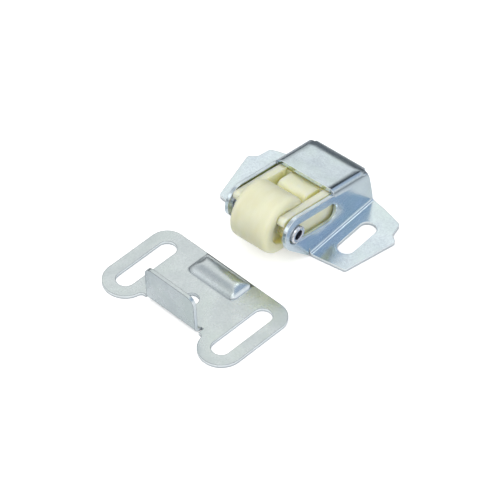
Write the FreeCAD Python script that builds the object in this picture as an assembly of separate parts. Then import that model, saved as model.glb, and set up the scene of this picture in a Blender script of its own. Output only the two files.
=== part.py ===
import FreeCAD, Part

import math
import os

from FreeCAD import Placement, Rotation, Vector

# Roller catch: a folded steel case with a sprung nylon roller, and the steel strike it holds.
# X runs along the axle, +Y points to the back of the case, +Z up from the face both are screwed to.
# The origin lies on that face, at the middle of the rectangle that case and strike fill together.
# The case and what it carries are drawn about the midpoint between its two screw slots and then
# moved to case_x, case_y. The strike is drawn about the middle of its back edge.

case_x = 0.65
case_y = 21.2
strike_x = -0.63
strike_y = -7.23
strike_yaw = -4.17

# Case blank and folds
case_sheet = 1.0
case_bend = 0.8            # inside radius of the folds at the flanges
cover_bend = 1.0           # inside radius of the folds round the cover
wall_foot = 10.17          # outer face of a side wall, from the middle, where it meets the base
wall_splay = 0.04          # how much a side wall leans in for each millimetre of height
wall_front = 20.75         # front of the wall's nose, ahead of the origin
nose_top_radius = 4.2
nose_bottom_radius = 5.0
nose_foot = 11.6           # where the 45 degree underside of the nose meets the base
wall_back_foot = 13.45     # back edge of a side wall at the base, and bowed in from there
wall_back_middle = 12.6
wall_back_middle_z = 6.5
flap_width = 15.1          # rear flap, folded down from the flat of the cover
flap_foot = 0.8            # height of the flap's free edge over the base

# Flanges
flange_front_wall = 11.95  # front edge at the wall
flange_front_x = 20.3
flange_front_y = 10.5
flange_tip_x = 23.9
flange_tip_y = 5.0
flange_notch_x = 21.8
flange_notch_y = 6.6
flange_back_x = 21.0
flange_back_y = 10.45
flange_bow = 0.35          # how far the back edge swells out between its ends
flange_corner = 1.0
flange_notch_radius = 1.4
case_slot_x = 15.75
case_slot_width = 4.75
case_slot_length = 13.0

# Slide of the carriage: it runs parallel to the cover, which falls towards the back
slide_angle = 12.5
pin_y = -16.3
pin_z = 11.15
cover_clearance = 0.3      # between the arms of the yoke and the cover
cover_front = 13.9         # front edge of the cover, along the slide from the pin
case_back = 29.25          # outer face of the rear flap, along the slide from the pin
wall_top_drop = 0.05       # the free top edge of a wall lies this far under the cover's inside
guide_length = 13.15       # slot in the walls, between the centres of its ends
guide_clearance = 0.2      # pin to slot, radial
guide_edge = 0.3           # break of the slot's outer rim

# Pin, roller and yoke
pin_diameter = 4.75
pin_bore = 2.6
pin_length = 20.6
pin_edge = 0.35            # break of the outer rim
pin_bore_edge = 0.25       # countersink of the bore
roller_diameter = 15.7
roller_length = 11.8
roller_edge = 1.4
roller_recess_diameter = 9.4
roller_recess_depth = 1.8
recess_edge = 0.3          # break of the recess's rim
roller_fit = 0.06          # roller bore over pin, radial
arm_fit = 0.03             # jaw of the yoke over pin, radial
roller_side_gap = 0.15
yoke_side_gap = 0.45       # arm to side wall at the height of the cover
yoke_top = 4.95            # top of the arms over the pin's centre line
yoke_bottom = 4.4
finger_reach = 4.2         # finger over the pin, ahead of the pin's centre
finger_round = 1.15
jaw_reach = 0.9
jaw_round = 0.6
block_width = 8.8
block_top = 4.25
block_round = 1.8
block_gap = 0.95           # roller to the block behind it
web_thickness = 2.3
yoke_back = 16.8

# Spring
spring_wire = 0.6
spring_mean_diameter = 4.3
spring_turns = 7
wire_sides = 4             # the wire's section is drawn as a polygon
pocket_clearance = 0.25
pocket_floor = 11.0
spring_end_gap = 0.05

# Strike
strike_sheet = 1.0
strike_length = 44.7
strike_corner = 5.0
strike_slot_pitch = 32.9
strike_slot_width = 5.1
strike_slot_length = 19.4
strike_slot_middle = 13.1  # from the back edge
strike_waist = 20.6        # front edge between the lobes, from the back edge
strike_waist_fillet = 1.2
strike_hole_diameter = 4.0
strike_hole_y = 13.9
tab_width = 16.6
tab_front = 21.1           # front face of the tab at its foot, from the back edge
tab_height = 12.0
tab_corner = 2.3
tab_bend = 1.2             # inside radius
tab_lean = 3.0
tab_relief = 0.8
hump_length = 15.6
hump_width = 7.4
hump_height = 1.9
hump_back = 0.25           # strip of flat plate left at the back edge
hump_end = 3.0             # length over which each end slopes down
hump_corner = 1.8
hump_wall = 0.75           # thinned sheet on the sides of the hump

far = 60.0                 # larger than the whole catch, for cutting bodies

# Frame of the slide: its origin is the pin's centre, +Y runs back along the slide
slide = Placement(Vector(0, pin_y, pin_z), Rotation(Vector(1, 0, 0), -slide_angle))
cover_inside = yoke_top + cover_clearance
cover_outside = cover_inside + case_sheet
cover_outer_radius = cover_bend + case_sheet
fold_foot = cover_outside - cover_outer_radius - case_sheet / 2
flange_join = case_bend + 2 * case_sheet
pin_radius = pin_diameter / 2
guide_radius = pin_radius + guide_clearance
arm_inside = roller_length / 2 + roller_side_gap


def wall_x(height, inset=0.0):
    """Half width of the case between its walls' outer faces, less an inset."""
    return wall_foot - wall_splay * height - inset


def slide_point(along, over):
    """World (y, z) of a point given along the slide and square to it."""
    point = slide.multVec(Vector(0, along, over))
    return point.y, point.z


def prism(points, direction):
    """Solid made by pushing a closed polygon along a vector."""
    return Part.Face(Part.makePolygon(points + points[:1])).extrude(direction)


def box(x0, x1, y0, y1, z0, z1):
    """Box between two corners."""
    return Part.makeBox(x1 - x0, y1 - y0, z1 - z0, Vector(x0, y0, z0))


def in_slide(shape):
    """The same shape carried from the slide's own frame into the world."""
    placed = shape.copy()
    placed.Placement = slide.multiply(placed.Placement)
    return placed


def chosen_edges(solid, wanted):
    """Edges whose middle and direction satisfy a test."""
    edges = []
    for edge in solid.Edges:
        middle = edge.valueAt((edge.FirstParameter + edge.LastParameter) / 2)
        start, end = edge.valueAt(edge.FirstParameter), edge.valueAt(edge.LastParameter)
        if wanted(middle, end - start):
            edges.append(edge)
    return edges


def rounded(solid, radius, wanted):
    """Solid with the edges that satisfy a test filleted."""
    return solid.makeFillet(radius, chosen_edges(solid, wanted))


def bevelled(solid, width, wanted):
    """Solid with the edges that satisfy a test chamfered."""
    return solid.makeChamfer(width, chosen_edges(solid, wanted))


def stadium(length, width, thickness):
    """Slot-shaped body along Y, centred, rising from z = 0."""
    radius = width / 2
    reach = length / 2 - radius
    body = box(-radius, radius, -reach, reach, 0, thickness)
    for end in (-reach, reach):
        body = body.fuse(Part.makeCylinder(radius, thickness, Vector(0, end, 0)))
    return body.removeSplitter()


def is_along_x(step):
    return abs(step.y) + abs(step.z) < 1e-6


def is_along_z(step):
    return abs(step.x) + abs(step.y) < 1e-6


def channel_block(inset, high, radius):
    """Block between the leaning walls, the folds along its top edges rounded."""
    section = [
        Vector(-wall_x(0, inset), -far, 0), Vector(wall_x(0, inset), -far, 0),
        Vector(wall_x(far / 2, inset), -far, far / 2), Vector(-wall_x(far / 2, inset), -far, far / 2),
    ]
    between_walls = prism(section, Vector(0, 2 * far, 0))
    block = between_walls.common(in_slide(box(-far, far, cover_front, case_back, -far, high)))
    inverse = slide.inverse()
    return rounded(block, radius, lambda middle, step: not is_along_x(step)
                   and abs(inverse.multVec(middle).z - high) < 1e-4)


def cover_side():
    """Right part of the cover with its fold and the top of the wall below it."""
    outer = channel_block(0, cover_outside, cover_outer_radius)
    inner = channel_block(case_sheet, cover_inside, cover_bend)
    beside_flap = box(flap_width / 2, far, -far, far, -far, far)
    upper = in_slide(box(0, far, -far, far, fold_foot, far))
    return outer.cut(inner).common(beside_flap).common(upper).common(wall_back())


def cover_middle():
    """Flat of the cover with the rear flap folded down from it."""
    turn = case_back - cover_outer_radius
    foot = -2 * cover_outside
    centre = Vector(0, turn, cover_outside - cover_outer_radius)
    slant = Vector(0, math.sqrt(0.5), math.sqrt(0.5))
    outer = [Vector(0, turn, cover_outside), centre + slant * cover_outer_radius,
             Vector(0, case_back, centre.z)]
    inner = [Vector(0, case_back - case_sheet, centre.z), centre + slant * cover_bend,
             Vector(0, turn, cover_inside)]
    front_top, front_low = Vector(0, cover_front, cover_outside), Vector(0, cover_front, cover_inside)
    foot_out, foot_in = Vector(0, case_back, foot), Vector(0, case_back - case_sheet, foot)
    edges = [
        Part.makeLine(front_top, outer[0]), Part.Arc(*outer).toShape(),
        Part.makeLine(outer[2], foot_out), Part.makeLine(foot_out, foot_in),
        Part.makeLine(foot_in, inner[0]), Part.Arc(*inner).toShape(),
        Part.makeLine(inner[2], front_low), Part.makeLine(front_low, front_top),
    ]
    body = Part.Face(Part.Wire(edges)).extrude(Vector(flap_width, 0, 0))
    body.translate(Vector(-flap_width / 2, 0, 0))
    return in_slide(body).common(box(-far, far, -far, far, flap_foot, far))


def wall_back():
    """Space in front of the bowed back edge that both walls share."""
    top_y, top_z = slide_point(case_back - cover_outer_radius, cover_outside)
    foot = Vector(-far, wall_back_foot, 0)
    middle = Vector(-far, wall_back_middle, wall_back_middle_z)
    top = Vector(-far, top_y, top_z)
    above, ahead, below = Vector(-far, top_y, far), Vector(-far, -far, far), Vector(-far, -far, 0)
    edges = [Part.Arc(foot, middle, top).toShape(), Part.makeLine(top, above),
             Part.makeLine(above, ahead), Part.makeLine(ahead, below), Part.makeLine(below, foot)]
    return Part.Face(Part.Wire(edges)).extrude(Vector(2 * far, 0, 0))


def wall_outline():
    """Side view of a wall as a solid that runs along X through the right wall."""
    top = cover_inside - wall_top_drop
    nose_y, nose_z = slide_point(-far / 3, top)
    reach_y, reach_z = slide_point(cover_front, top)
    slope = (nose_z - reach_z) / (reach_y - nose_y)
    points = [
        (-flange_front_wall, 0),
        (-flange_front_wall, flange_front_wall - nose_foot),
        (-wall_front, wall_front - nose_foot),
        (-wall_front, reach_z + (reach_y + wall_front) * slope),
        (reach_y, reach_z),
        slide_point(cover_front, fold_foot),
        slide_point(case_back, fold_foot),
        (far, 0),
    ]
    side = prism([Vector(0, y, z) for y, z in points], Vector(far, 0, 0))
    side = rounded(side, nose_top_radius, lambda middle, step: is_along_x(step)
                   and abs(middle.y + wall_front) < 1e-6 and middle.z > pin_z)
    side = rounded(side, nose_bottom_radius, lambda middle, step: is_along_x(step)
                   and abs(middle.y + wall_front) < 1e-6 and middle.z < pin_z)
    return side.common(wall_back())


def side_wall():
    """Right wall from its fold at the flange up to the fold of the cover."""
    top = far / 2
    section = [
        Vector(wall_x(0, case_sheet), -far, 0), Vector(wall_x(0), -far, 0),
        Vector(wall_x(top), -far, top), Vector(wall_x(top, case_sheet), -far, top),
    ]
    plate = prism(section, Vector(0, 2 * far, 0)).common(wall_outline())
    return plate.cut(box(0, far, -flange_front_wall, far, 0, flange_join))


def flange_outline():
    """Plan of the right flange as a solid that rises through it."""
    back_wall = Vector(wall_foot - 2 * case_sheet, wall_back_foot, 0)
    back_tip = Vector(flange_back_x, flange_back_y, 0)
    front_wall = Vector(back_wall.x, -flange_front_wall, 0)
    corners = [
        front_wall,
        Vector(flange_front_x, -flange_front_y, 0),
        Vector(flange_tip_x, flange_tip_y, 0),
        Vector(flange_notch_x, flange_notch_y, 0),
        back_tip,
    ]
    edges = [Part.makeLine(a, b) for a, b in zip(corners, corners[1:])]
    bow = (back_tip + back_wall) * 0.5 + Vector(0, flange_bow, 0)
    edges.append(Part.Arc(back_tip, bow, back_wall).toShape())
    edges.append(Part.makeLine(back_wall, front_wall))
    plan = Part.Face(Part.Wire(edges)).extrude(Vector(0, 0, far / 4))
    plan = rounded(plan, flange_notch_radius, lambda middle, step: is_along_z(step)
                   and abs(middle.y - flange_notch_y) < 1e-6)
    outer_corners = (-flange_front_y, flange_tip_y, flange_back_y)
    return rounded(plan, flange_corner, lambda middle, step: is_along_z(step)
                   and any(abs(middle.y - y) < 1e-6 for y in outer_corners))


def flange():
    """Right flange with its fold and the foot of the wall."""
    top = flange_join
    section = [
        Vector(wall_x(top, case_sheet), 0, top), Vector(wall_x(0, case_sheet), 0, 0),
        Vector(far / 2, 0, 0), Vector(far / 2, 0, case_sheet),
        Vector(wall_x(case_sheet), 0, case_sheet), Vector(wall_x(top), 0, top),
    ]
    angle = prism([p - Vector(0, far, 0) for p in section], Vector(0, 2 * far, 0))
    outside = wall_x(0, case_sheet)
    angle = rounded(angle, case_bend + case_sheet, lambda middle, step: abs(step.y) > far
                    and abs(middle.z) < 1e-6 and abs(middle.x - outside) < 1e-6)
    angle = rounded(angle, case_bend, lambda middle, step: abs(step.y) > far
                    and abs(middle.z - case_sheet) < 1e-6 and middle.x < wall_foot + case_sheet)
    slot = stadium(case_slot_length, case_slot_width, 3 * case_sheet)
    slot.translate(Vector(case_slot_x, 0, -case_sheet))
    return angle.common(flange_outline()).cut(slot)


def guide_slot():
    """Slot through both walls that the pin runs in."""
    length = guide_length + 2 * guide_radius
    slot = stadium(length, 2 * guide_radius, 2 * far)
    slot.translate(Vector(0, guide_length / 2, -far))
    slot.rotate(Vector(0, 0, 0), Vector(0, 1, 0), 90)
    return in_slide(slot)


def case():
    """One folded sheet: cover, side walls, flanges and rear flap."""
    right = side_wall().fuse([flange(), cover_side()])
    left = right.mirror(Vector(0, 0, 0), Vector(1, 0, 0))
    body = cover_middle().fuse([right, left]).removeSplitter()
    body = body.cut(guide_slot())
    inverse = slide.inverse()

    def on_rim(middle, step):
        local = inverse.multVec(middle)
        outside = abs(abs(middle.x) - wall_x(middle.z)) < 1e-4
        reach = -guide_radius - 1e-3 < local.y < guide_length + guide_radius + 1e-3
        return outside and reach and abs(local.z) < guide_radius + 1e-3

    return bevelled(body, guide_edge, on_rim)


def axle_pin():
    """Hollow pin, its rims broken inside and out."""
    half = pin_length / 2
    tube = Part.makeCylinder(pin_radius, pin_length, Vector(-half, pin_y, pin_z), Vector(1, 0, 0))
    bore = Part.makeCylinder(pin_bore / 2, pin_length, Vector(-half, pin_y, pin_z), Vector(1, 0, 0))
    tube = bevelled(tube, pin_edge, lambda middle, step: abs(abs(middle.x) - half) < 1e-6)
    return bevelled(tube.cut(bore), pin_bore_edge,
                    lambda middle, step: abs(abs(middle.x) - half) < 1e-6
                    and math.hypot(middle.y - pin_y, middle.z - pin_z) < pin_bore / 2 + 1e-6)


def roller():
    """Nylon roller with rounded rims and a shallow recess in each end."""
    half = roller_length / 2
    centre = Vector(0, pin_y, pin_z)
    along = Vector(1, 0, 0)
    body = Part.makeCylinder(roller_diameter / 2, roller_length, centre - along * half, along)
    body = rounded(body, roller_edge, lambda middle, step: abs(abs(middle.x) - half) < 1e-6)
    recess_radius = roller_recess_diameter / 2
    for side in (-1, 1):
        start = centre + along * (side * (half - roller_recess_depth))
        recess = Part.makeCylinder(recess_radius, 2 * roller_recess_depth, start, along * side)
        body = body.cut(recess)
    bore_radius = pin_radius + roller_fit
    bore = Part.makeCylinder(bore_radius, roller_length, centre - along * half, along)
    body = body.cut(bore)
    return bevelled(body, recess_edge, lambda middle, step: abs(abs(middle.x) - half) < 1e-6
                    and math.hypot(middle.y - pin_y, middle.z - pin_z) < recess_radius + 1e-6)


def yoke_arm(outside):
    """Right arm in the slide's frame, with a finger over the pin and a jaw behind it."""
    jaw_radius = pin_radius + arm_fit
    arm = box(arm_inside, outside, -finger_reach, yoke_back, -yoke_bottom, yoke_top)
    arm = arm.cut(box(0, far, -far, -jaw_reach, -far, jaw_radius))
    arm = arm.cut(box(0, far, -far, 0, -jaw_radius, jaw_radius))
    arm = arm.cut(Part.makeCylinder(jaw_radius, far, Vector(0, 0, 0), Vector(1, 0, 0)))
    arm = rounded(arm, finger_round, lambda middle, step: is_along_x(step)
                  and abs(middle.y + finger_reach) < 1e-6)
    arm = rounded(arm, jaw_round, lambda middle, step: is_along_x(step)
                  and abs(middle.y + jaw_reach) < 1e-6)
    return arm


def yoke():
    """One moulding: two arms, the block behind the roller and the web that joins them."""
    height = slide_point(0, yoke_top)[1]
    outside = wall_x(height, case_sheet) - yoke_side_gap
    arm = yoke_arm(outside)
    block_front = roller_diameter / 2 + block_gap
    block = box(-block_width / 2, block_width / 2, block_front, yoke_back, -yoke_bottom, block_top)
    block = rounded(block, block_round, lambda middle, step: is_along_x(step)
                    and abs(middle.y - block_front) < 1e-6)
    web = box(-outside, outside, yoke_back - web_thickness, yoke_back, -yoke_bottom, block_top)
    pocket_radius = spring_mean_diameter / 2 + spring_wire / 2 + pocket_clearance
    pocket = Part.makeCylinder(pocket_radius, far, Vector(0, pocket_floor, 0), Vector(0, 1, 0))
    body = block.fuse([web, arm, arm.mirror(Vector(0, 0, 0), Vector(1, 0, 0))]).removeSplitter()
    return in_slide(body.cut(pocket))


def spring():
    """Compression spring from the floor of the yoke's pocket to the rear flap."""
    wire_radius = spring_wire / 2
    radius = spring_mean_diameter / 2
    start = pocket_floor + wire_radius + spring_end_gap
    length = case_back - case_sheet - spring_end_gap - wire_radius - start
    helix = Part.makeHelix(length / spring_turns, length, radius)
    corners = []
    for number in range(wire_sides + 1):
        angle = 2 * math.pi * number / wire_sides
        corners.append(Vector(radius + wire_radius * math.cos(angle), 0, wire_radius * math.sin(angle)))
    coil = Part.Wire(helix.Edges).makePipeShell([Part.makePolygon(corners)], True, True)
    coil.rotate(Vector(0, 0, 0), Vector(1, 0, 0), -90)
    coil.translate(Vector(0, start, 0))
    return in_slide(coil)


def strike_blank():
    """Flat outline of the strike with its two lobes, back edge on y = 0."""
    half = strike_length / 2
    lobe_x = strike_slot_pitch / 2
    lobe_radius = half - lobe_x
    lobe_y = -(strike_slot_middle + strike_slot_length / 2 - strike_slot_width / 2)
    blank = box(-half, half, -strike_waist, 0, 0, strike_sheet)
    blank = rounded(blank, strike_corner, lambda middle, step: is_along_z(step)
                    and abs(middle.y) < 1e-6)
    for side in (-1, 1):
        centre = Vector(side * lobe_x, lobe_y, 0)
        lobe = Part.makeCylinder(lobe_radius, strike_sheet, centre)
        neck = box(centre.x - lobe_radius, centre.x + lobe_radius, lobe_y, 0.5 * lobe_y,
                   0, strike_sheet)
        blank = blank.fuse([lobe, neck])
    blank = blank.removeSplitter()
    return rounded(blank, strike_waist_fillet, lambda middle, step: is_along_z(step)
                   and abs(middle.x) < lobe_x and abs(middle.y + strike_waist) < 1e-3)


def hump_form(inset, rise):
    """Rounded bar along X with sloping ends, its foot on z = rise."""
    half, side = hump_length / 2 - inset, hump_width / 2 - inset
    bottom, top = rise - 2 * strike_sheet, rise + hump_height
    across = [
        Part.Arc(Vector(-half, -side, rise), Vector(-half, 0, top),
                 Vector(-half, side, rise)).toShape(),
        Part.makeLine(Vector(-half, side, rise), Vector(-half, side, bottom)),
        Part.makeLine(Vector(-half, side, bottom), Vector(-half, -side, bottom)),
        Part.makeLine(Vector(-half, -side, bottom), Vector(-half, -side, rise)),
    ]
    bar = Part.Face(Part.Wire(across)).extrude(Vector(2 * half, 0, 0))
    end_radius = (hump_end ** 2 + hump_height ** 2) / (2 * hump_height)
    centre_x, centre_z = half - hump_end, top - end_radius
    swing = math.asin(hump_end / end_radius) / 2
    bow_x, bow_z = end_radius * math.sin(swing), end_radius * math.cos(swing)
    along = [
        Part.Arc(Vector(-half, -side, rise), Vector(-centre_x - bow_x, -side, centre_z + bow_z),
                 Vector(-centre_x, -side, top)).toShape(),
        Part.makeLine(Vector(-centre_x, -side, top), Vector(centre_x, -side, top)),
        Part.Arc(Vector(centre_x, -side, top), Vector(centre_x + bow_x, -side, centre_z + bow_z),
                 Vector(half, -side, rise)).toShape(),
        Part.makeLine(Vector(half, -side, rise), Vector(half, -side, bottom)),
        Part.makeLine(Vector(half, -side, bottom), Vector(-half, -side, bottom)),
        Part.makeLine(Vector(-half, -side, bottom), Vector(-half, -side, rise)),
    ]
    profile = Part.Face(Part.Wire(along)).extrude(Vector(0, 2 * side, 0))
    plan = rounded(box(-half, half, -side, side, bottom, top), hump_corner,
                   lambda middle, step: is_along_z(step))
    return bar.common(profile).common(plan)


def tab():
    """Tab bent up from the front edge, with its fold."""
    outer = tab_bend + strike_sheet
    half = tab_width / 2
    lean = math.radians(tab_lean)
    up = Vector(0, -math.sin(lean), math.cos(lean))
    out = Vector(0, -math.cos(lean), -math.sin(lean))
    centre = Vector(0, outer - tab_front, outer)
    flat = Vector(0, centre.y, 0)
    turn = (out - Vector(0, 0, 1)).normalize()
    rise = up * ((tab_height - centre.z - out.z * outer) / up.z)
    front_foot, back_foot = centre + out * outer, centre + out * tab_bend
    edges = [
        Part.makeLine(flat, flat + Vector(0, 0, strike_sheet)),
        Part.Arc(flat + Vector(0, 0, strike_sheet), centre + turn * tab_bend, back_foot).toShape(),
        Part.makeLine(back_foot, back_foot + rise),
        Part.makeLine(back_foot + rise, front_foot + rise),
        Part.makeLine(front_foot + rise, front_foot),
        Part.Arc(front_foot, centre + turn * outer, flat).toShape(),
    ]
    body = Part.Face(Part.Wire(edges)).extrude(Vector(tab_width, 0, 0))
    body.translate(Vector(-half, 0, 0))
    top = tab_height - strike_sheet
    return rounded(body, tab_corner, lambda middle, step: abs(abs(middle.x) - half) < 1e-6
                   and middle.z > top and abs(step.z) < 0.5 * strike_sheet)


def strike_plate():
    """Strike with slots, centre hole, stop tab and the hump that holds the roller."""
    half = tab_width / 2
    fold_back = -(tab_front - tab_bend - strike_sheet)
    plate = strike_blank()
    plate = plate.cut(box(-half - tab_relief, half + tab_relief, -far, fold_back,
                          -strike_sheet, 2 * strike_sheet))
    plate = plate.fuse(tab())
    slot = stadium(strike_slot_length, strike_slot_width, 3 * strike_sheet)
    slot.translate(Vector(0, -strike_slot_middle, -strike_sheet))
    for side in (-1, 1):
        shifted = slot.copy()
        shifted.translate(Vector(side * strike_slot_pitch / 2, 0, 0))
        plate = plate.cut(shifted)
    plate = plate.cut(Part.makeCylinder(strike_hole_diameter / 2, 3 * strike_sheet,
                                        Vector(0, -strike_hole_y, -strike_sheet)))
    hump_y = -(hump_back + hump_width / 2)
    outer = hump_form(0, strike_sheet).cut(box(-far, far, -far, far, -far, 0))
    inner = hump_form(hump_wall, 0)
    outer.translate(Vector(0, hump_y, 0))
    inner.translate(Vector(0, hump_y, 0))
    plate = plate.fuse(outer).removeSplitter().cut(inner)
    plate.rotate(Vector(0, 0, 0), Vector(0, 0, 1), strike_yaw)
    plate.translate(Vector(strike_x, strike_y, 0))
    return plate


def main():
    """Build each piece and write it to its own file."""
    pieces = {
        "case": case(),
        "yoke": yoke(),
        "axle_pin": axle_pin(),
        "roller": roller(),
        "spring": spring(),
    }
    for shape in pieces.values():
        shape.translate(Vector(case_x, case_y, 0))
    pieces["strike_plate"] = strike_plate()
    os.makedirs("parts", exist_ok=True)
    for name, shape in pieces.items():
        solids = shape.Solids
        bounds = shape.BoundBox
        print(name, "valid" if shape.isValid() else "NOT VALID", "solids", len(solids),
              "volume %.2f" % shape.Volume,
              "x %.2f %.2f y %.2f %.2f z %.2f %.2f" % (bounds.XMin, bounds.XMax, bounds.YMin,
                                                      bounds.YMax, bounds.ZMin, bounds.ZMax))
        shape = solids[0] if len(solids) == 1 else Part.makeCompound(solids)
        shape.exportStep("parts/%s.step" % name)


main()
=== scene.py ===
"""Looks of the roller catch: metal and nylon finishes, turned pieces, spring, light, floor and camera."""

import logging
import math
from dataclasses import dataclass
from enum import Enum

import bpy
from mathutils import Matrix, Vector

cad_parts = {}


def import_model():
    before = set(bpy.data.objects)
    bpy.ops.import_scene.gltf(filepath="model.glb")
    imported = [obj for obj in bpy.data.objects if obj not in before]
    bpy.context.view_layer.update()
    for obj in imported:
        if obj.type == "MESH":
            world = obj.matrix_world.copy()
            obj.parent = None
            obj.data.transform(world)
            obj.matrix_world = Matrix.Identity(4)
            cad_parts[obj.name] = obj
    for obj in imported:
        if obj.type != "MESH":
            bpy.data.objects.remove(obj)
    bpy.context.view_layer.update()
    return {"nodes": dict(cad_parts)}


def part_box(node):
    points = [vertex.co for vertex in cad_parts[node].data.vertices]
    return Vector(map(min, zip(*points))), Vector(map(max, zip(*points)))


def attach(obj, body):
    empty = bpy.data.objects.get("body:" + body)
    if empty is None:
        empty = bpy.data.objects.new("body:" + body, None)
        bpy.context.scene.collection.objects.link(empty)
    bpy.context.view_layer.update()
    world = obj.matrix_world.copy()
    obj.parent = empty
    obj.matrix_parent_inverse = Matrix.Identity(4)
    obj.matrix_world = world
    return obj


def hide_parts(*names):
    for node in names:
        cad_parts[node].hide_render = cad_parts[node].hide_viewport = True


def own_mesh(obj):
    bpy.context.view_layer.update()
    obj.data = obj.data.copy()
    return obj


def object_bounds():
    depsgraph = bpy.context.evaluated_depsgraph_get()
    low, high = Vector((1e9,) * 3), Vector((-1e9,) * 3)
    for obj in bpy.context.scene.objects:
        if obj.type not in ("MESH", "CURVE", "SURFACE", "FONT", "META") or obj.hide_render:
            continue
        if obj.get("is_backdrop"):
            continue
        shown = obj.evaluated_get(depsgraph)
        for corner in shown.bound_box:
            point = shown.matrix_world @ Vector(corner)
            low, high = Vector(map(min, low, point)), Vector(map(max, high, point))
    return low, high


MM = 0.001
log = logging.getLogger("roller_catch")

Colour = tuple[float, float, float]
Point = tuple[float, float, float]
Pair = tuple[float, float]
Socket = bpy.types.NodeSocket
Value = Socket | float | Colour

# Middle of the axle in the frame, and the slope of the cover and the guide slots.
AXLE: Point = (0.65 * MM, 4.9 * MM, 11.15 * MM)
SLOPE = math.radians(12.5)

# A noise seldom leaves this part of its range from 0 to 1.
NOISE_LOW = 0.3
NOISE_HIGH = 0.7
OCCLUSION_SAMPLES = 8
WHITE: Colour = (1.0, 1.0, 1.0)


class Node(Enum):
    """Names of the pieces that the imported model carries."""

    CASE = "case"
    YOKE = "yoke"
    PIN = "axle_pin"
    ROLLER = "roller"
    SPRING = "spring"
    STRIKE = "strike_plate"


class Body(Enum):
    """Names of the bodies that new pieces ride on."""

    CASE = "case"
    CARRIAGE = "carriage"
    ROLLER = "roller"


class Slot(Enum):
    """Names of the record's material slots that match the new pieces' finishes."""

    PIN = "pin_steel"
    ROLLER = "roller_nylon"
    SPRING = "spring_steel"


class Mix(Enum):
    """Kinds of mix node: data type, numbers of the two inputs and number of the output."""

    COLOUR = ("RGBA", 6, 7, 2)
    NORMAL = ("VECTOR", 4, 5, 1)


def srgb(red: float, green: float, blue: float) -> Colour:
    """Linear colour of an 8-bit display colour.

    Args:
        red: Red from 0 to 255.
        green: Green from 0 to 255.
        blue: Blue from 0 to 255.

    Returns:
        The three linear values.
    """

    def linear(value: float) -> float:
        """Linear value of one display channel."""
        share = value / 255.0
        return share / 12.92 if share <= 0.04045 else ((share + 0.055) / 1.055) ** 2.4

    return linear(red), linear(green), linear(blue)


def direction(azimuth: float, elevation: float) -> Vector:
    """Unit vector of a direction.

    Args:
        azimuth: Angle in degrees from +Y towards +X.
        elevation: Angle in degrees above the level.

    Returns:
        The vector.
    """
    turn, lift = math.radians(azimuth), math.radians(elevation)
    return Vector((math.sin(turn) * math.cos(lift), math.cos(turn) * math.cos(lift), math.sin(lift)))


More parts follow.
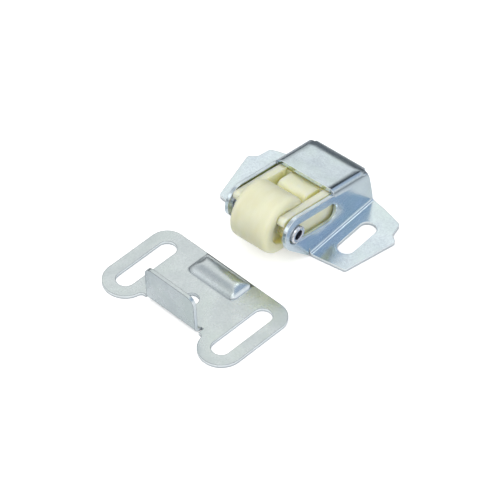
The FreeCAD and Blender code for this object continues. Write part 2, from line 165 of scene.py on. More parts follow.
class Graph:
    """Short way to write a node tree."""

    def __init__(self, tree: bpy.types.NodeTree) -> None:
        """Empty the tree and keep it.

        Args:
            tree: Node tree of a material or a world.
        """
        self.tree = tree
        tree.nodes.clear()

    def add(self, kind: str, **settings: Value | str | int) -> bpy.types.Node:
        """Add a node and set its properties and inputs.

        Args:
            kind: Blender's type name of the node.
            **settings: Properties by name; an input's name has spaces as underscores
                and may be a number or the output socket that feeds it.

        Returns:
            The new node.
        """
        node = self.tree.nodes.new(kind)
        for name, value in settings.items():
            if hasattr(node, name):
                setattr(node, name, value)
            else:
                self.feed(node.inputs[name.replace("_", " ")], value)
        return node

    def feed(self, socket: Socket, value: Value) -> None:
        """Link an output to a socket, or set the socket's own value.

        Args:
            socket: Input to feed.
            value: Output socket to link, or the number, vector or colour to set.
        """
        if isinstance(value, Socket):
            self.tree.links.new(value, socket)
        elif isinstance(value, tuple) and socket.type == "RGBA":
            socket.default_value = (*value, 1.0)
        else:
            socket.default_value = value

    def point(self) -> Socket:
        """Coordinate that stays with the piece, and is the frame's own at rest."""
        return self.add("ShaderNodeTexCoord").outputs["Object"]

    def noise(self, point: Socket, scale: float, detail: float = 3.0, rough: float = 0.55) -> Socket:
        """Noise value over a point.

        Args:
            point: Coordinate to sample at.
            scale: Spots per metre.
            detail: Octaves.
            rough: Strength of the finer octaves.

        Returns:
            The factor output, about 0.5 on average.
        """
        node = self.add("ShaderNodeTexNoise", Vector=point, Scale=scale, Detail=detail, Roughness=rough)
        return node.outputs["Fac"]

    def spread(self, value: Socket, low: float, high: float, to_low: float, to_high: float) -> Socket:
        """Map a value's range onto another, held at its ends.

        Args:
            value: Socket to map.
            low: Value that gives to_low.
            high: Value that gives to_high.
            to_low: Result at low.
            to_high: Result at high.

        Returns:
            The mapped output.
        """
        node = self.add("ShaderNodeMapRange", Value=value, From_Min=low, From_Max=high,
                        To_Min=to_low, To_Max=to_high)
        return node.outputs["Result"]

    def swing(self, noise: Socket, to_low: float, to_high: float) -> Socket:
        """Map the usual range of a noise onto another, held at its ends."""
        return self.spread(noise, NOISE_LOW, NOISE_HIGH, to_low, to_high)

    def blend(self, factor: Socket, first: Value, second: Value, kind: Mix = Mix.COLOUR) -> Socket:
        """Mix two colours or normals by a factor.

        Args:
            factor: 0 for the first, 1 for the second.
            first: Value or socket.
            second: Value or socket.
            kind: What is mixed.

        Returns:
            The mixed output.
        """
        data_type, first_input, second_input, output = kind.value
        node = self.add("ShaderNodeMix", data_type=data_type)
        self.feed(node.inputs["Factor"], factor)
        self.feed(node.inputs[first_input], first)
        self.feed(node.inputs[second_input], second)
        return node.outputs[output]

    def maths(self, operation: str, first: Value, second: Value) -> Socket:
        """Result of one operation on two numbers.

        Args:
            operation: Blender's name of the operation.
            first: Number or socket.
            second: Number or socket.

        Returns:
            The result's output.
        """
        node = self.add("ShaderNodeMath", operation=operation)
        self.feed(node.inputs[0], first)
        self.feed(node.inputs[1], second)
        return node.outputs[0]

    def times(self, first: Value, second: Value) -> Socket:
        """Product of two numbers or sockets."""
        return self.maths("MULTIPLY", first, second)

    def absolute(self, value: Socket) -> Socket:
        """Value without its sign."""
        return self.maths("ABSOLUTE", value, 0.0)

    def vectors(self, operation: str, first: Value, *second: Value) -> bpy.types.Node:
        """Node of one operation on one or two vectors.

        Args:
            operation: Blender's name of the operation.
            first: Vector or socket.
            *second: Second vector or socket, where the operation takes one.

        Returns:
            The node, with its Vector and Value outputs.
        """
        node = self.add("ShaderNodeVectorMath", operation=operation)
        for number, value in enumerate((first, *second)):
            self.feed(node.inputs[number], value)
        return node

    def offset(self, point: Socket, origin: Point) -> Socket:
        """Vector from an origin to a point."""
        return self.vectors("SUBTRACT", point, origin).outputs["Vector"]

    def dot(self, first: Value, second: Value) -> Socket:
        """Dot product of two directions."""
        return self.vectors("DOT_PRODUCT", first, second).outputs["Value"]

    def length(self, vector: Socket) -> Socket:
        """Length of a vector."""
        return self.vectors("LENGTH", vector).outputs["Value"]

    def turned(self, vector: Socket, axis: str, angle: float) -> Socket:
        """Turn a vector about one axis of the frame.

        Args:
            vector: Vector to turn.
            axis: Letter of the axis.
            angle: Angle in radians.

        Returns:
            The turned vector.
        """
        node = self.add("ShaderNodeVectorRotate", rotation_type=f"{axis}_AXIS", Vector=vector, Angle=angle)
        return node.outputs["Vector"]

    def axes(self, vector: Socket) -> tuple[Socket, Socket, Socket]:
        """The x, y and z outputs of a vector."""
        outputs = self.add("ShaderNodeSeparateXYZ", Vector=vector).outputs
        return outputs["X"], outputs["Y"], outputs["Z"]

    def stretched(self, point: Socket, scale: Point) -> Socket:
        """Point with each axis scaled, so that a texture over it streaks."""
        return self.add("ShaderNodeMapping", Vector=point, Scale=scale).outputs["Vector"]

    def openness(self, reach: float) -> Socket:
        """Share of the surroundings that is free within a reach, 1 on an open face."""
        return self.add("ShaderNodeAmbientOcclusion", samples=OCCLUSION_SAMPLES,
                        Distance=reach).outputs["AO"]

    def surface(self, shader: Socket) -> None:
        """Show a shader as the material's surface."""
        self.add("ShaderNodeOutputMaterial", Surface=shader)


def new_graph(name: str) -> tuple[bpy.types.Material, Graph]:
    """New material with an empty node tree.

    Args:
        name: Material's name.

    Returns:
        The material and its graph.
    """
    material = bpy.data.materials.new(name)
    material.use_nodes = True
    return material, Graph(material.node_tree)


@dataclass(frozen=True)
class Zone:
    """Upright block of space with soft sides, turned about Z, in metres and degrees."""

    centre: Point
    yaw: float
    half_x: float
    half_y: float
    soft: float = 0.4 * MM

    def mask(self, graph: Graph, point: Socket) -> Socket:
        """Share from 0 outside to 1 inside the block.

        Args:
            graph: Tree to add to.
            point: Coordinate in the frame.

        Returns:
            The share.
        """
        local = graph.turned(graph.offset(point, self.centre), "Z", -math.radians(self.yaw))
        along, across, _ = graph.axes(local)
        inside = [graph.spread(graph.absolute(value), half, half + self.soft, 1.0, 0.0)
                  for value, half in ((along, self.half_x), (across, self.half_y))]
        return graph.times(*inside)


@dataclass(frozen=True)
class CoverRoll:
    """Soft roll of the cover's skin ahead of its folds, in metres and radians.

    Lengths across and back are measured from the axle, along the cover. Heights are the frame's.
    """

    origin: Point = AXLE
    slope: float = SLOPE
    side_start: float = 6.3 * MM
    back_start: float = 24.9 * MM
    width: float = 2.3 * MM
    radius: float = 7.6 * MM
    low: float = 9.2 * MM
    low_soft: float = 1.0 * MM
    front: float = 13.9 * MM
    front_soft: float = 0.2 * MM
    flank: float = 9.0 * MM
    flank_soft: float = 0.4 * MM

    def fall(self, graph: Graph, value: Socket, start: float) -> Socket:
        """How far the skin has dropped: curved over the roll's width, then straight.

        Args:
            graph: Tree to add to.
            value: Distance from the axle.
            start: Distance at which the roll begins.

        Returns:
            The drop.
        """
        past = graph.maths("MAXIMUM", graph.maths("SUBTRACT", value, start), 0.0)
        curved = graph.maths("MINIMUM", past, self.width)
        bowl = graph.times(graph.times(curved, curved), 0.5 / self.radius)
        straight = graph.times(graph.maths("SUBTRACT", past, curved), self.width / self.radius)
        return graph.maths("ADD", bowl, straight)

    def normal(self, graph: Graph, point: Socket, plain: Socket) -> Socket:
        """Normal of the rolled skin on the cover, and the plain one elsewhere.

        Args:
            graph: Tree to add to.
            point: Coordinate in the frame.
            plain: Normal without the roll.

        Returns:
            The normal.
        """
        sideways, back, _ = graph.axes(graph.turned(graph.offset(point, self.origin), "X", self.slope))
        height = graph.axes(point)[2]
        across = graph.absolute(sideways)
        inside = graph.spread(across, self.flank, self.flank + self.flank_soft, 1.0, 0.0)
        drop = graph.maths("ADD", self.fall(graph, across, self.side_start),
                           graph.times(self.fall(graph, back, self.back_start), inside))
        rolled = graph.add("ShaderNodeBump", Strength=1.0, Distance=1.0, Normal=plain,
                           Height=graph.times(drop, -1.0))
        above = graph.spread(height, self.low, self.low + self.low_soft, 0.0, 1.0)
        behind = graph.spread(back, self.front - self.front_soft, self.front, 0.0, 1.0)
        return graph.blend(graph.times(above, behind), plain, rolled.outputs["Normal"], Mix.NORMAL)


@dataclass(frozen=True)
class PlatedSteel:
    """Zinc-plated sheet: spangle, faint colours of the plating, painted shade in inner corners, wear,
    sheared edges, and a line painted along the edges as a painted highlight where its colour is light and
    a painted dark outline where it is dark.

    Lengths are in metres and noises in spots per metre. The edges' turn is the cosine between the
    rounded and the plain normal, and upright and side_on are shares of the face's normal.
    """

    name: str
    light: Colour
    dark: Colour
    tint: Colour
    # Colour of the line painted along the edges: light gives a painted highlight, dark a painted dark
    # outline.
    painted_edge: Colour
    roughness: float
    rim: float
    cloud: float = 210.0
    cloud_share: float = 0.4
    grain: float = 2600.0
    tint_spots: float = 95.0
    tint_range: Pair = (0.45, 0.7)
    tint_share: float = 0.5
    bump: float = 0.3
    bump_depth: float = 0.02 * MM
    rough_swing: float = 0.04
    bare_rough: float = 0.12
    rim_samples: int = 12
    rim_turn: Pair = (0.98, 0.85)
    wear_and_painted_edge: float = 0.8
    worn_metal: float = 0.6
    smooth_zone: Zone | None = None
    smooth_rim: float = 1.9 * MM
    roll: CoverRoll | None = None
    # Painted shade of inner corners: its colour, reach, range of openness and share.
    crease_shade: Colour = (0.2, 0.24, 0.29)
    crease_shade_reach: float = 1.2 * MM
    crease_shade_range: Pair = (0.62, 0.95)
    crease_shade_share: float = 0.7
    cut: Colour = (0.84, 0.89, 0.91)
    cut_height: float = 1.05 * MM
    cut_soft: float = 0.1 * MM
    cut_metal: float = 0.35
    cut_sides: bool = False
    upright: Pair = (0.3, 0.5)
    side_on: Pair = (0.7, 0.8)

    def plating(self, graph: Graph, point: Socket, cloud: Socket, grain: Socket) -> Socket:
        """Mottled colour of the plating with its faint tint.

        Args:
            graph: Tree to add to.
            point: Coordinate in the frame.
            cloud: Broad noise.
            grain: Fine noise.

        Returns:
            The colour.
        """
        mottle = graph.maths("ADD", graph.swing(cloud, 0.0, self.cloud_share),
                             graph.swing(grain, 0.0, 1.0 - self.cloud_share))
        spots = graph.noise(point, self.tint_spots, 2.0)
        hue = graph.spread(spots, *self.tint_range, 0.0, self.tint_share)
        return graph.blend(hue, graph.blend(mottle, self.dark, self.light), self.tint)

    def sheared(self, graph: Graph, point: Socket, normal: Socket) -> Socket:
        """Share from 0 on the sheet's faces to 1 on the sheared edges.

        Args:
            graph: Tree to add to.
            point: Coordinate in the frame.
            normal: Normal of the face.

        Returns:
            The share.
        """
        sideways, _, up = graph.axes(normal)
        height = graph.axes(point)[2]
        upright = graph.spread(graph.absolute(up), *self.upright, 1.0, 0.0)
        on_base = graph.spread(height, self.cut_height, self.cut_height + self.cut_soft, 1.0, 0.0)
        share = graph.times(upright, on_base)
        if self.cut_sides:
            ends = graph.spread(graph.absolute(sideways), *self.side_on, 0.0, 1.0)
            share = graph.maths("MAXIMUM", share, ends)
        return share

    def shaded_in_creases(self, graph: Graph, colour: Socket) -> Socket:
        """Colour with painted shade in inner corners.

        Args:
            graph: Tree to add to.
            colour: Colour of the open face.

        Returns:
            The colour.
        """
        # Painted shade: the dark colour is mixed in where little of the surroundings is open.
        shut = graph.spread(graph.openness(self.crease_shade_reach), *self.crease_shade_range, self.crease_shade_share, 0.0)
        return graph.blend(shut, colour, self.crease_shade)

    def rims(self, graph: Graph, point: Socket, normal: Socket) -> tuple[Socket, Socket]:
        """Rounded normal at the edges, and the share of their wear and of the line painted along them.

        Args:
            graph: Tree to add to.
            point: Coordinate in the frame.
            normal: Normal without the rounding.

        Returns:
            The rounded normal and the share.
        """
        radius: Value = self.rim
        edge_share: Value = 1.0
        if self.smooth_zone:
            zone = self.smooth_zone.mask(graph, point)
            radius = graph.spread(zone, 0.0, 1.0, self.rim, self.smooth_rim)
            edge_share = graph.spread(zone, 0.0, 1.0, 1.0, 0.0)
        rounded = graph.add("ShaderNodeBevel", samples=self.rim_samples, Radius=radius).outputs["Normal"]
        turn = graph.dot(rounded, normal)
        wear_and_painted_edge = graph.times(graph.spread(turn, *self.rim_turn, 0.0, self.wear_and_painted_edge), edge_share)
        return rounded, wear_and_painted_edge

    def build(self) -> bpy.types.Material:
        """Build the material.

        Returns:
            The new material.
        """
        material, graph = new_graph(self.name)
        point = graph.point()
        cloud = graph.noise(point, self.cloud, 4.0)
        grain = graph.noise(point, self.grain, 2.0, 0.6)
        shape = graph.add("ShaderNodeNewGeometry")
        sheared = self.sheared(graph, point, shape.outputs["True Normal"])
        base = graph.blend(sheared, self.plating(graph, point, cloud, grain), self.cut)
        normal, wear_and_painted_edge = self.rims(graph, point, shape.outputs["Normal"])
        # Painted line along the edges: a painted highlight on the case and the spring, a painted dark
        # outline on the strike; the same share dulls the metal as wear.
        colour = graph.blend(wear_and_painted_edge, self.shaded_in_creases(graph, base), self.painted_edge)
        if self.roll:
            normal = self.roll.normal(graph, point, normal)
        bump = graph.add("ShaderNodeBump", Strength=self.bump, Distance=self.bump_depth, Height=grain,
                         Normal=normal)
        plated = graph.swing(cloud, self.roughness + self.rough_swing, self.roughness - self.rough_swing)
        bare = graph.maths("MAXIMUM", wear_and_painted_edge, sheared)
        rough = graph.maths("ADD", plated, graph.spread(bare, 0.0, 1.0, 0.0, self.bare_rough))
        metal = graph.maths("MINIMUM", graph.spread(wear_and_painted_edge, 0.0, 1.0, 1.0, self.worn_metal),
                            graph.spread(sheared, 0.0, 1.0, 1.0, self.cut_metal))
        shader = graph.add("ShaderNodeBsdfPrincipled", Base_Color=colour, Metallic=metal,
                           Roughness=rough, Normal=bump.outputs["Normal"])
        graph.surface(shader.outputs["BSDF"])
        return material


@dataclass(frozen=True)
class TurnedSteel:
    """Bright turned steel: rings round the axle, a bright face and a bore painted dark as painted shade.

    Lengths are in metres and noises in spots per metre.
    """

    name: str
    colour: Colour
    # Colour of the darker spots, and of the painted shade in the bore.
    dark: Colour
    roughness: float
    centre: Point = AXLE
    bore_radius: float = 1.35 * MM
    bore_soft: float = 0.08 * MM
    rings: float = 5200.0
    ring_stretch: Point = (1.0, 0.05, 0.05)
    spots: float = 1400.0
    spot_range: Pair = (0.4, 0.7)
    spot_share: float = 0.35
    bump: float = 0.2
    bump_depth: float = 0.01 * MM
    smoother: float = 0.05
    rougher: float = 0.07

    def build(self) -> bpy.types.Material:
        """Build the material.

        Returns:
            The new material.
        """
        material, graph = new_graph(self.name)
        point = graph.point()
        across = graph.vectors("MULTIPLY", graph.offset(point, self.centre), (0.0, 1.0, 1.0))
        radius = graph.length(across.outputs["Vector"])
        inside = graph.spread(radius, self.bore_radius, self.bore_radius + self.bore_soft, 1.0, 0.0)
        rings = graph.noise(graph.stretched(point, self.ring_stretch), self.rings, 2.0)
        spots = graph.spread(graph.noise(point, self.spots), *self.spot_range, 0.0, self.spot_share)
        # Painted shade: the bore takes the dark colour.
        colour = graph.blend(inside, graph.blend(spots, self.colour, self.dark), self.dark)
        bump = graph.add("ShaderNodeBump", Strength=self.bump, Distance=self.bump_depth, Height=rings)
        rough = graph.swing(rings, self.roughness - self.smoother, self.roughness + self.rougher)
        shader = graph.add("ShaderNodeBsdfPrincipled", Base_Color=colour, Metallic=1.0,
                           Roughness=rough, Normal=bump.outputs["Normal"])
        graph.surface(shader.outputs["BSDF"])
        return material


@dataclass(frozen=True)
class MouldedNylon:
    """Natural nylon: cream, slightly translucent, with flow marks, a fine moulded skin and a deeper yellow
    painted into its hollows as painted bounce light.

    Lengths are in metres and noises in spots per metre.
    """

    name: str
    light: Colour
    deep: Colour
    roughness: float
    # Painted bounce light in the hollows: its colour, reach, range of openness and share.
    crevice_bounce: Colour = (0.95, 0.9, 0.42)
    crevice_bounce_reach: float = 3.0 * MM
    crevice_bounce_range: Pair = (0.1, 0.75)
    crevice_bounce_share: float = 0.85
    flow: float = 420.0
    flow_stretch: Point = (1.0, 0.35, 0.35)
    flow_range: Pair = (0.35, 0.65)
    skin: float = 3800.0
    bump: float = 0.12
    bump_depth: float = 0.02 * MM
    rough_swing: float = 0.05
    round_edge: float = 0.45 * MM
    round_samples: int = 8
    scatter: float = 1.0
    scatter_reach: Colour = (1.0, 0.9, 0.55)
    scatter_depth: float = 3.2 * MM
    index: float = 1.53
    gloss: float = 0.45

    def build(self) -> bpy.types.Material:
        """Build the material.

        Returns:
            The new material.
        """
        material, graph = new_graph(self.name)
        point = graph.point()
        flow = graph.noise(graph.stretched(point, self.flow_stretch), self.flow, 3.0)
        skin = graph.noise(point, self.skin, 2.0)
        colour = graph.blend(graph.spread(flow, *self.flow_range, 0.0, 1.0), self.deep, self.light)
        # Painted bounce light: a deeper yellow is mixed in where the nylon is closed in.
        shut = graph.spread(graph.openness(self.crevice_bounce_reach), *self.crevice_bounce_range,
                            self.crevice_bounce_share, 0.0)
        colour = graph.blend(shut, colour, self.crevice_bounce)
        bevel = graph.add("ShaderNodeBevel", samples=self.round_samples, Radius=self.round_edge)
        bump = graph.add("ShaderNodeBump", Strength=self.bump, Distance=self.bump_depth, Height=skin,
                         Normal=bevel.outputs["Normal"])
        rough = graph.swing(skin, self.roughness - self.rough_swing, self.roughness + self.rough_swing)
        shader = graph.add("ShaderNodeBsdfPrincipled", Base_Color=colour, Roughness=rough,
                           IOR=self.index, Subsurface_Weight=self.scatter,
                           Subsurface_Radius=self.scatter_reach, Subsurface_Scale=self.scatter_depth,
                           Specular_IOR_Level=self.gloss, Normal=bump.outputs["Normal"])
        graph.surface(shader.outputs["BSDF"])
        return material


@dataclass(frozen=True)
class PaleFloor:
    """Pale sweep that washes out to white and keeps the shadow beside the object.

    Every ray but the camera's sees its far part darker. Reaches are in metres.
    """

    name: str
    colour: Colour
    far: Colour
    lift: float
    near_reach: float = 0.025
    far_reach: float = 0.11
    paper: float = 900.0
    paper_colour: Colour = (0.8, 0.8, 0.8)
    paper_share: float = 0.02

    def build(self) -> bpy.types.Material:
        """Build the material.

        Returns:
            The new material.
        """
        material, graph = new_graph(self.name)
        to_camera = graph.add("ShaderNodeLightPath").outputs["Is Camera Ray"]
        point = graph.point()
        paper = graph.swing(graph.noise(point, self.paper, 2.0), 0.0, self.paper_share)
        away = graph.spread(graph.length(point), self.near_reach, self.far_reach, 0.0, 1.0)
        mirrored = graph.times(away, graph.maths("SUBTRACT", 1.0, to_camera))
        colour = graph.blend(mirrored, graph.blend(paper, self.colour, self.paper_colour), self.far)
        diffuse = graph.add("ShaderNodeBsdfDiffuse", Color=colour)
        glow = graph.add("ShaderNodeEmission", Color=WHITE,
                         Strength=graph.spread(to_camera, 0.0, 1.0, 0.0, self.lift))
        total = graph.add("ShaderNodeAddShader")
        graph.feed(total.inputs[0], diffuse.outputs["BSDF"])
        graph.feed(total.inputs[1], glow.outputs["Emission"])
        graph.surface(total.outputs["Shader"])
        return material


def dress(node: bpy.types.Object, material: bpy.types.Material) -> None:
    """Give a carried-over piece one finish in all its slots.

    Args:
        node: The piece.
        material: Its finish.
    """
    if not node.data.materials:
        node.data.materials.append(material)
    for index in range(len(node.data.materials)):
        node.data.materials[index] = material


def link(name: str, points: list[Vector], faces: list[tuple[int, ...]],
         material: bpy.types.Material, sharp: float = 35.0) -> bpy.types.Object:
    """Make a smooth mesh object with hard edges past an angle.

    Args:
        name: Object's name.
        points: Vertices in metres.
        faces: Vertex numbers of each face.
        material: Finish.
        sharp: Angle in degrees above which an edge is hard.

    Returns:
        The linked object.
    """
    mesh = bpy.data.meshes.new(name)
    mesh.from_pydata([tuple(point) for point in points], [], faces)
    mesh.validate()
    mesh.shade_smooth()
    mesh.set_sharp_from_angle(angle=math.radians(sharp))
    mesh.materials.append(material)
    piece = bpy.data.objects.new(name, mesh)
    bpy.context.scene.collection.objects.link(piece)
    return piece


def arc(centre: Pair, radius: float, start: float, stop: float, steps: int) -> list[Pair]:
    """Points of a circular arc, ends included.

    Args:
        centre: Centre of the arc.
        radius: Radius.
        start: First angle in degrees.
        stop: Last angle in degrees.
        steps: Number of chords.

    Returns:
        The points in order.
    """
    turns = [math.radians(start + (stop - start) * i / steps) for i in range(steps + 1)]
    return [(centre[0] + radius * math.cos(t), centre[1] + radius * math.sin(t)) for t in turns]


def lathe(name: str, profile: list[Pair], centre: Vector, material: bpy.types.Material,
          around: int = 144) -> bpy.types.Object:
    """Turn a closed profile round the axle.

    Args:
        name: Object's name.
        profile: (along, radius) pairs in millimetres, a closed loop.
        centre: Middle of the axle in metres.
        material: Finish.
        around: Number of steps round.

    Returns:
        The turned piece.
    """
    points, faces = [], []
    count = len(profile)
    for step in range(around):
        angle = 2 * math.pi * step / around
        for along, radius in profile:
            offset = Vector((along, radius * math.cos(angle), radius * math.sin(angle)))
            points.append(centre + offset * MM)
    for step in range(around):
        ring, after = step * count, (step + 1) % around * count
        for i in range(count):
            j = (i + 1) % count
            faces.append((ring + i, ring + j, after + j, after + i))
    return link(name, points, faces, material)


@dataclass
class Roller:
    """Nylon roller with rounded rims, a recess in each end and a fine seam, sizes in millimetres."""

    centre: Vector
    radius: float = 7.85
    half_length: float = 5.9
    rim: float = 1.4
    recess_radius: float = 4.7
    recess_depth: float = 1.8
    recess_edge: float = 0.3
    floor_fillet: float = 0.5
    bore: float = 2.435
    seam_band: float = 1.2
    seam_half: float = 0.12
    seam_depth: float = 0.03

    def profile(self) -> list[Pair]:
        """Half profile, from the bore outwards and along the tread to the seam in the middle.

        Returns:
            The (along, radius) pairs.
        """
        floor = self.half_length - self.recess_depth
        half = [(floor, self.bore)]
        half += arc((floor + self.floor_fillet, self.recess_radius - self.floor_fillet),
                    self.floor_fillet, 180, 90, steps=6)
        half += arc((self.half_length - self.recess_edge, self.recess_radius + self.recess_edge),
                    self.recess_edge, 270, 360, steps=5)
        half += arc((self.half_length - self.rim, self.radius - self.rim), self.rim, 0, 90, steps=14)
        half += [(self.seam_band, self.radius), (self.seam_half, self.radius),
                 (0.0, self.radius - self.seam_depth)]
        return half

    def build(self, material: bpy.types.Material) -> bpy.types.Object:
        """Turn the roller and set it on its body.

        Args:
            material: Finish of the nylon.

        Returns:
            The roller.
        """
        half = self.profile()
        full = half + [(-along, radius) for along, radius in reversed(half[:-1])]
        piece = lathe("roller_turned", full, self.centre, material)
        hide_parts(Node.ROLLER.value)
        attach(piece, Body.ROLLER.value)
        log.info("roller: %d faces", len(piece.data.polygons))
        return piece


@dataclass
class Axle:
    """Hollow steel pin, sizes in millimetres; a ring of points at half_waist parts its long faces."""

    centre: Vector
    radius: float = 2.375
    bore: float = 1.3
    half_length: float = 10.3
    rim: float = 0.35
    bore_edge: float = 0.25
    half_waist: float = 5.0

    def build(self, material: bpy.types.Material) -> bpy.types.Object:
        """Turn the pin and set it on the carriage.

        Args:
            material: Finish of the steel.

        Returns:
            The pin.
        """
        bore_end = self.half_length - self.bore_edge
        half = [(0.0, self.bore), (bore_end, self.bore)]
        half += arc((bore_end, self.bore + self.bore_edge), self.bore_edge, 290, 360, steps=4)
        half += arc((self.half_length - self.rim, self.radius - self.rim), self.rim, 0, 90, steps=7)
        half += [(self.half_waist, self.radius), (0.0, self.radius)]
        full = half + [(-along, radius) for along, radius in reversed(half[1:-1])]
        piece = lathe("axle_pin_turned", full, self.centre, material)
        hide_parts(Node.PIN.value)
        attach(piece, Body.CARRIAGE.value)
        log.info("axle pin: %d faces", len(piece.data.polygons))
        return piece


@dataclass
class CoilSpring:
    """Compression spring with closed ends, sizes in millimetres along the slide, from the axle.

    The floor of the yoke's pocket moves by the travel, and the flap's face at anchor stays.
    """

    centre: Vector
    slope: float = SLOPE
    start: float = 11.35
    stop: float = 27.9
    anchor: float = 28.25
    travel: float = 7.6
    pocket: float = 11.0
    wire: float = 0.6
    mean_radius: float = 2.15
    turns: float = 7.0
    closed_turns: float = 1.0
    steps_per_turn: int = 32
    around: int = 10
    sharp: float = 60.0

    def rise(self, turn: float) -> float:
        """Place of the wire's centre along the spring.

        Args:
            turn: Number of turns from the first end.

        Returns:
            The share of the spring's length, from 0 to 1.
        """
        pitch = self.wire / (self.stop - self.start)
        open_turns = self.turns - 2 * self.closed_turns
        step = (1.0 - 2 * pitch * self.closed_turns) / open_turns
        if turn < self.closed_turns:
            return turn * pitch
        if turn > self.turns - self.closed_turns:
            return 1.0 - (self.turns - turn) * pitch
        return pitch * self.closed_turns + (turn - self.closed_turns) * step

    def build(self, material: bpy.types.Material) -> bpy.types.Object:
        """Coil the wire and set it on the case.

        Args:
            material: Finish of the wire.

        Returns:
            The spring.
        """
        back = Vector((0.0, math.cos(self.slope), -math.sin(self.slope)))
        over = Vector((0.0, math.sin(self.slope), math.cos(self.slope)))
        side = Vector((1.0, 0.0, 0.0))
        total = int(self.turns * self.steps_per_turn)
        points, faces = [], []
        for step in range(total + 1):
            turn = self.turns * step / total
            angle = 2 * math.pi * turn
            out = side * math.cos(angle) + over * math.sin(angle)
            along = self.start + (self.stop - self.start) * self.rise(turn)
            middle = self.centre + (out * self.mean_radius + back * along) * MM
            for k in range(self.around):
                swing = 2 * math.pi * k / self.around
                points.append(middle + (out * math.cos(swing) + back * math.sin(swing))
                              * (self.wire / 2 * MM))
        for step in range(total):
            ring, follow = step * self.around, (step + 1) * self.around
            for k in range(self.around):
                after = (k + 1) % self.around
                faces.append((ring + k, ring + after, follow + after, follow + k))
        faces.append(tuple(reversed(range(self.around))))
        faces.append(tuple(total * self.around + k for k in range(self.around)))
        piece = link("spring_coiled", points, faces, material, self.sharp)
        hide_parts(Node.SPRING.value)
        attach(piece, Body.CASE.value)
        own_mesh(piece)
        log.info("spring: %d faces", len(piece.data.polygons))
        return piece


@dataclass
class Lamp:
    """Soft area lamp that faces the object and doesn't show in the metal.

    Angles are in degrees, lengths in metres and the power in watts.
    """

    name: str
    azimuth: float
    elevation: float
    distance: float
    width: float
    height: float
    power: float

    def place(self) -> Matrix:
        """Pose whose local -Z looks at the object.

        Returns:
            The lamp's matrix.
        """
        away = direction(self.azimuth, self.elevation)
        pose = away.to_track_quat("Z", "Y").to_matrix().to_4x4()
        pose.translation = away * self.distance
        return pose

    def build(self) -> bpy.types.Object:
        """Hang the lamp.

        Returns:
            The lamp.
        """
        light = bpy.data.lights.new(self.name, "AREA")
        light.shape = "RECTANGLE"
        light.size, light.size_y = self.width, self.height
        light.energy = self.power
        lamp = bpy.data.objects.new(self.name, light)
        bpy.context.scene.collection.objects.link(lamp)
        lamp.matrix_world = self.place()
        lamp.visible_glossy = False
        log.info("lamp %s: %.2f W", self.name, self.power)
        return lamp


@dataclass(frozen=True)
class Patch:
    """Soft-edged round patch of the sky: colour, direction, inner and outer angle in degrees."""

    colour: Colour
    azimuth: float
    elevation: float
    inner: float
    outer: float

    def share(self, graph: Graph, way: Socket) -> Socket:
        """Share from 0 outside to 1 inside the patch.

        Args:
            graph: Tree to add to.
            way: Direction looked in.

        Returns:
            The share.
        """
        nearness = graph.dot(way, tuple(direction(self.azimuth, self.elevation)))
        return graph.spread(nearness, math.cos(math.radians(self.outer)),
                            math.cos(math.radians(self.inner)), 0.0, 1.0)


@dataclass(frozen=True)
class Room:
    """Sky of the studio: soft patches over a plain base, and a horizon that is dark on one side."""

    base: Colour
    horizon: Colour
    horizon_heights: Pair
    horizon_way: Point
    horizon_range: Pair
    patches: tuple[Patch, ...]
    strength: float = 1.0

    def build(self) -> None:
        """Paint the world by direction, and show plain white behind the object."""
        world = bpy.data.worlds.new("studio_room")
        bpy.context.scene.world = world
        world.use_nodes = True
        graph = Graph(world.node_tree)
        way = graph.add("ShaderNodeTexCoord").outputs["Generated"]
        low = graph.spread(graph.axes(way)[2], *self.horizon_heights, 1.0, 0.0)
        side = graph.spread(graph.dot(way, self.horizon_way), *self.horizon_range, 0.0, 1.0)
        colour = graph.blend(graph.times(low, side), self.base, self.horizon)
        for patch in self.patches:
            colour = graph.blend(patch.share(graph, way), colour, patch.colour)
        to_camera = graph.add("ShaderNodeLightPath").outputs["Is Camera Ray"]
        sky = graph.add("ShaderNodeBackground", Color=graph.blend(to_camera, colour, WHITE),
                        Strength=self.strength)
        graph.add("ShaderNodeOutputWorld", Surface=sky.outputs["Background"])
        log.info("room painted: %d patches", len(self.patches))


@dataclass
class Floor:
    """Pale round floor, sizes in metres; it lies just under the catch, clear of its flat faces."""

    reach: float = 1.2
    depth: float = 0.03 * MM
    sides: int = 96

    def build(self, material: bpy.types.Material) -> bpy.types.Object:
        """Lay the floor.

        Args:
            material: Finish of the floor.

        Returns:
            The floor.
        """
        turns = [2 * math.pi * i / self.sides for i in range(self.sides)]
        points = [Vector((self.reach * math.cos(t), self.reach * math.sin(t), -self.depth)) for t in turns]
        floor = link("floor", points, [tuple(range(self.sides))], material)
        floor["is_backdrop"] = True
        log.info("floor laid")
        return floor


@dataclass
class Camera:
    """Camera of the photograph: place in metres, angles in degrees, lens in millimetres."""

    place: Point
    azimuth: float
    elevation: float
    roll: float
    focal: float
    sensor: float = 36.0
    clip_start: float = 0.01
    clip_end: float = 50.0

    def build(self) -> bpy.types.Object:
        """Set up the camera.

        Returns:
            The camera.
        """
        data = bpy.data.cameras.new("camera")
        data.sensor_width = self.sensor
        data.lens = self.focal
        data.clip_start, data.clip_end = self.clip_start, self.clip_end
        camera = bpy.data.objects.new("camera", data)
        bpy.context.scene.collection.objects.link(camera)
        turn = Matrix.Rotation(math.radians(self.azimuth), 4, "Z")
        tilt = Matrix.Rotation(math.radians(90.0 - self.elevation), 4, "X")
        camera.matrix_world = (Matrix.Translation(self.place) @ turn @ tilt
                               @ Matrix.Rotation(math.radians(self.roll), 4, "Z"))
        bpy.context.scene.camera = camera
        log.info("camera set")
        return camera


# The drawn hump of the strike plate, whose edges are soft.
HUMP = Zone(centre=(-0.917 * MM, -11.17 * MM, 0.0), yaw=-4.17, half_x=7.9 * MM, half_y=3.7 * MM)
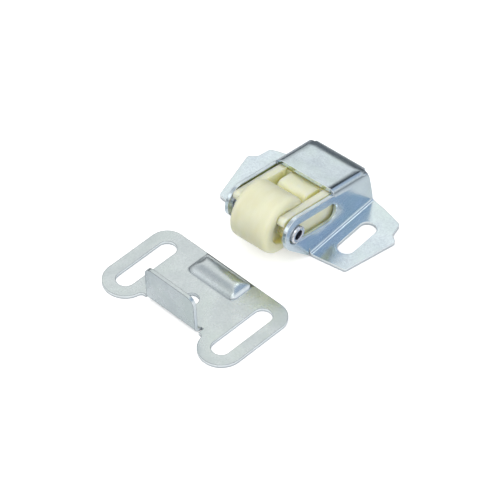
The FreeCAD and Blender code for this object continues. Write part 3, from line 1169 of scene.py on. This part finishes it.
# The colours for the edges are painted: a painted highlight on the case and the spring, a painted dark
# outline on the strike.
CASE_ZINC = PlatedSteel("case_zinc", light=(0.76, 0.86, 0.92), dark=(0.57, 0.66, 0.75),
                        tint=(0.66, 0.79, 0.77), painted_edge=(0.93, 0.95, 0.96), roughness=0.22,
                        rim=0.23 * MM, roll=CoverRoll())
STRIKE_ZINC = PlatedSteel("strike_zinc", light=(0.68, 0.74, 0.77), dark=(0.52, 0.58, 0.61),
                          tint=(0.59, 0.68, 0.66), painted_edge=(0.12, 0.15, 0.17), roughness=0.28,
                          rim=0.26 * MM, wear_and_painted_edge=0.85, bump=0.22, crease_shade_reach=0.8 * MM,
                          cut_sides=True, smooth_zone=HUMP)
SPRING_STEEL = PlatedSteel("spring_steel", light=srgb(190, 192, 196), dark=srgb(150, 152, 158),
                           tint=srgb(170, 170, 168), painted_edge=srgb(220, 222, 226), roughness=0.28,
                           rim=0.02 * MM, wear_and_painted_edge=0.2)
PIN_STEEL = TurnedSteel("pin_steel", colour=srgb(242, 242, 244), dark=srgb(168, 170, 182),
                        roughness=0.24)
ROLLER_NYLON = MouldedNylon("roller_nylon", light=(0.79, 0.785, 0.61), deep=(0.75, 0.74, 0.53),
                            roughness=0.4)
# Painted light: the yoke has the roller's nylon made lighter, to brighten it where it sits in shade under
# the cover.
YOKE_NYLON_LIGHTENED = MouldedNylon("yoke_nylon", light=(0.87, 0.86, 0.66), deep=(0.83, 0.815, 0.57),
                          roughness=0.42)
PALE_FLOOR = PaleFloor("pale_floor", colour=(0.9, 0.9, 0.9), far=(0.16, 0.17, 0.18), lift=0.4)

# Patches of the sky. One that is named for a part of the catch stands where that part mirrors it.
WHITE_WALL = Patch((1.05, 1.04, 1.0), -42.0, 52.0, 24.0, 44.0)
BLUE_WALL = Patch((0.44, 0.53, 0.68), 42.0, 44.0, 20.0, 38.0)
GREY_CORNER = Patch((0.58, 0.6, 0.62), -99.0, 64.0, 10.0, 22.0)
DARK_ON_COVER_EDGE = Patch((0.03, 0.04, 0.05), -1.0, 35.0, 13.0, 20.0)
DARK_ON_HUMP_END = Patch((0.05, 0.06, 0.07), -58.0, 12.0, 8.0, 16.0)
LIGHT_ON_CREST = Patch((3.0, 3.0, 2.9), 8.0, 59.0, 4.0, 8.0)
LIGHT_ON_BEND = Patch((1.8, 1.8, 1.78), 56.5, 13.0, 4.0, 9.0)
LIGHT_ON_NOSE = Patch((1.5, 1.5, 1.48), -150.0, 28.0, 8.0, 19.0)
LIGHT_ON_HUMP_CORNER = Patch((4.0, 4.0, 3.9), 123.0, 57.0, 8.0, 16.0)

STUDIO_ROOM = Room(base=(0.78, 0.78, 0.77), horizon=(0.1, 0.11, 0.12), horizon_heights=(0.2, 0.38),
                   horizon_way=(-0.707, 0.707, 0.0), horizon_range=(0.25, 0.6),
                   patches=(WHITE_WALL, BLUE_WALL, GREY_CORNER, DARK_ON_COVER_EDGE, DARK_ON_HUMP_END,
                            LIGHT_ON_CREST, LIGHT_ON_BEND, LIGHT_ON_NOSE, LIGHT_ON_HUMP_CORNER))
LAMPS = (Lamp("key_lamp", azimuth=-90.0, elevation=60.0, distance=0.9, width=0.5, height=0.4, power=0.95),
         Lamp("fill_lamp", azimuth=132.0, elevation=32.0, distance=0.9, width=0.7, height=0.5, power=1.35))
PHOTO_CAMERA = Camera(place=(0.39305, -0.46991, 0.63451), azimuth=39.954, elevation=45.888,
                      roll=-0.017, focal=256.28)


@dataclass
class Catch:
    """The whole catch: carried-over sheets and yoke, turned pieces and spring."""

    nodes: dict[str, bpy.types.Object]
    centre: Vector

    def build(self) -> None:
        """Finish every piece."""
        for node, finish in ((Node.CASE, CASE_ZINC), (Node.STRIKE, STRIKE_ZINC), (Node.YOKE, YOKE_NYLON_LIGHTENED)):
            dress(self.nodes[node.value], finish.build())
            log.info("%s: finish set", node.value)
        Roller(self.centre).build(ROLLER_NYLON.build())
        Axle(self.centre).build(PIN_STEEL.build())
        CoilSpring(self.centre).build(SPRING_STEEL.build())


@dataclass
class Studio:
    """Floor, room, lamps and camera."""

    floor: Floor
    room: Room
    lamps: tuple[Lamp, ...]
    camera: Camera

    def build(self) -> None:
        """Build the studio."""
        self.floor.build(PALE_FLOOR.build())
        self.room.build()
        for lamp in self.lamps:
            lamp.build()
        self.camera.build()
        bpy.context.scene.view_settings.view_transform = "Standard"


def save_sizes(after: tuple[Vector, Vector]) -> None:
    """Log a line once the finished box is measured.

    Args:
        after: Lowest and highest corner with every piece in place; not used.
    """
    log.info("sizes written")


def main() -> None:
    """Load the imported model, finish it and light it."""
    logging.basicConfig(level=logging.INFO, format="%(name)s: %(message)s")
    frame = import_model()
    low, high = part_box(Node.PIN.value)
    Catch(frame["nodes"], (low + high) / 2).build()
    Studio(Floor(), STUDIO_ROOM, LAMPS, PHOTO_CAMERA).build()
    save_sizes(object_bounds())


if __name__ == "__main__":
    main()
